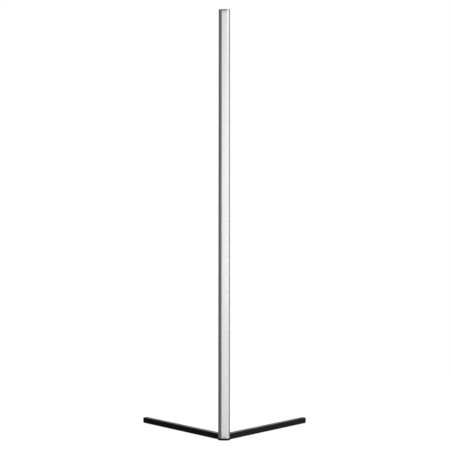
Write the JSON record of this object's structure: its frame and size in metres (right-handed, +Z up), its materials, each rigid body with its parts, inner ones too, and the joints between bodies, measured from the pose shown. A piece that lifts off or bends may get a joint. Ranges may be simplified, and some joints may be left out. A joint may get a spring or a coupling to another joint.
{
  "type": "corner floor lamp",
  "caption": "Free-standing corner floor lamp: a slim aluminium light pole with a milky front diffuser, held by a black foot block with square floor legs running back at right angles to each other.",
  "frame": {"origin": "on the floor where the two leg axes cross under the pole", "axes": "+Z up along the pole, +X to the lamp's right as seen from the front, +Y back between the legs into the corner of the room"},
  "size_m": [0.5868, 0.3034, 1.42],
  "materials": {
    "satin_aluminium": "satin anodised, brushed along its length",
    "raw_aluminium": "mill finish",
    "dark_screw": "black oxide",
    "milky_diffuser": "milky matt",
    "adhesive_tape": "matt",
    "white_strip": "matt white",
    "chip_resin": "clear resin over phosphor",
    "black_plastic": "fine moulded grain",
    "black_cast_metal": "satin black powder coat",
    "black_tube": "satin black powder coat",
    "black_rubber": "matt",
    "dark_lens": "smoked gloss",
    "button_plastic": "satin",
    "component_metal": "tin plated",
    "component_black": "moulded epoxy",
    "circuit_board": "green solder mask",
    "lead_sleeve": "smooth"
  },
  "bodies": {
    "lamp": {"pole_section_lower": "satin_aluminium", "pole_section_middle": "satin_aluminium", "pole_section_upper": "satin_aluminium", "joiner_lower": "raw_aluminium", "joiner_upper": "raw_aluminium", "joiner_screws": "dark_screw", "diffuser": "milky_diffuser", "strip_tape": "adhesive_tape", "led_strip": "white_strip", "led_chips": "chip_resin", "top_cap": "black_plastic", "top_cap_screws": "dark_screw", "foot_block": "black_cast_metal", "foot_screws": "dark_screw", "foot_pad": "black_rubber", "leg_left": "black_tube", "leg_right": "black_tube", "leg_plug_left": "black_plastic", "leg_plug_right": "black_plastic", "leg_pad_left": "black_rubber", "leg_pad_right": "black_rubber", "leg_screws": "dark_screw", "control_panel": "black_plastic", "panel_screws": "dark_screw", "ir_window": "dark_lens", "switch_body": "component_metal", "controller_board": "circuit_board", "power_jack": "black_plastic", "jack_pin": "component_metal", "ir_receiver": "component_black", "radio_module": "component_metal", "driver_chip": "component_black", "capacitor": "component_black", "lead_connector": "white_strip", "strip_leads": "lead_sleeve"},
    "button": {"power_button": "button_plastic", "switch_stem": "black_plastic"}
  },
  "joints": [
    {"name": "button_press", "type": "slide", "parent": "lamp", "child": "button", "axis": [0, -1, 0], "range_m": [0, 0.0006], "stiffness_N_per_m": 1600, "springref_m": -0.0004}
  ]
}
